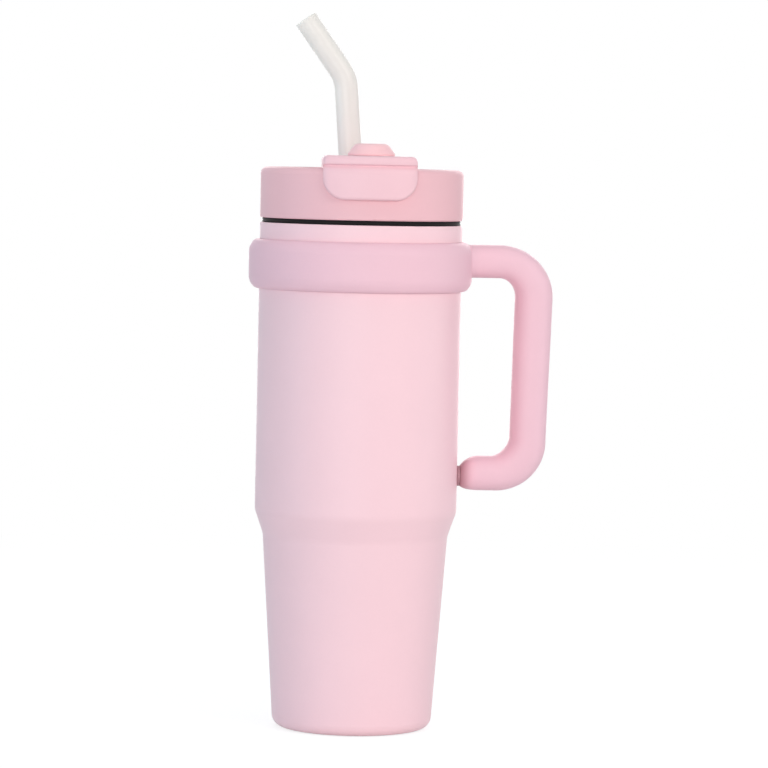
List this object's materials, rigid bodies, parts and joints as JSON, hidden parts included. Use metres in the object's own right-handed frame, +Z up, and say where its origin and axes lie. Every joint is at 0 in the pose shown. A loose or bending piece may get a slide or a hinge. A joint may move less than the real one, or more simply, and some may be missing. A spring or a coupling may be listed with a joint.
{
  "type": "insulated water bottle",
  "caption": "Tall insulated bottle with a stepped steel body, a collar with a C-shaped handle, a screw lid with a flip cover over its spout, and a bent drinking straw.",
  "frame": {"origin": "on the body's axis, at the level of the foot ring that the bottle stands on", "axes": "+Z up along the body's axis, +X towards the handle, -Y towards the front tab of the flip cover"},
  "size_m": [0.1451, 0.106, 0.34],
  "materials": {
    "body_paint": "satin powder coat",
    "steel": "brushed",
    "bead_glass": "fused",
    "getter": "sintered",
    "collar_plastic": "satin",
    "lid_plastic": "satin",
    "stopper_soft": "matte silicone",
    "pad_soft": "matte",
    "seal_black": "matte",
    "soft_white": "matte silicone",
    "straw_plastic": "satin"
  },
  "bodies": {
    "vessel": {"outer_shell": "body_paint", "inner_liner": "steel", "base_plate": "steel", "base_cover": "steel", "vacuum_bead": "bead_glass", "getter_cup": "steel", "getter_pill": "getter", "collar_band": "collar_plastic", "collar_sleeve": "pad_soft", "handle_arm": "collar_plastic", "handle_foot": "pad_soft"},
    "seal": {"lid_gasket": "seal_black"},
    "lid": {"lid_cap": "lid_plastic", "lid_plug": "lid_plastic", "vent_valve": "soft_white", "hinge_pin": "steel"},
    "flip": {"flip_cover": "lid_plastic", "spout_stopper": "stopper_soft"},
    "bush": {"straw_grommet": "soft_white"},
    "straw": {"straw": "straw_plastic"}
  },
  "joints": [
    {"name": "lid_rise", "type": "slide", "parent": "vessel", "child": "seal", "axis": [0, 0, 1], "range_m": [0, 0.005]},
    {"name": "lid_turn", "type": "hinge", "parent": "seal", "child": "lid", "pos_m": [0, 0, 0.24], "axis": [0, 0, 1], "range_deg": [0, 450]},
    {"name": "flip_open", "type": "hinge", "parent": "lid", "child": "flip", "pos_m": [0, -0.01, 0.2694], "axis": [-1, 0, 0], "range_deg": [0, 105]},
    {"name": "straw_swivel", "type": "hinge", "parent": "lid", "child": "bush", "pos_m": [-0.0041, 0.015, 0.2642], "axis": [-0.0785, 0, 0.9969], "continuous": true},
    {"name": "straw_slide", "type": "slide", "parent": "bush", "child": "straw", "axis": [-0.0785, 0, 0.9969], "range_m": [0, 0.24]}
  ],
  "couplings": [
    {"joint": "lid_rise", "follows": "lid_turn", "m_per_rad": 0.0006366}
  ]
}
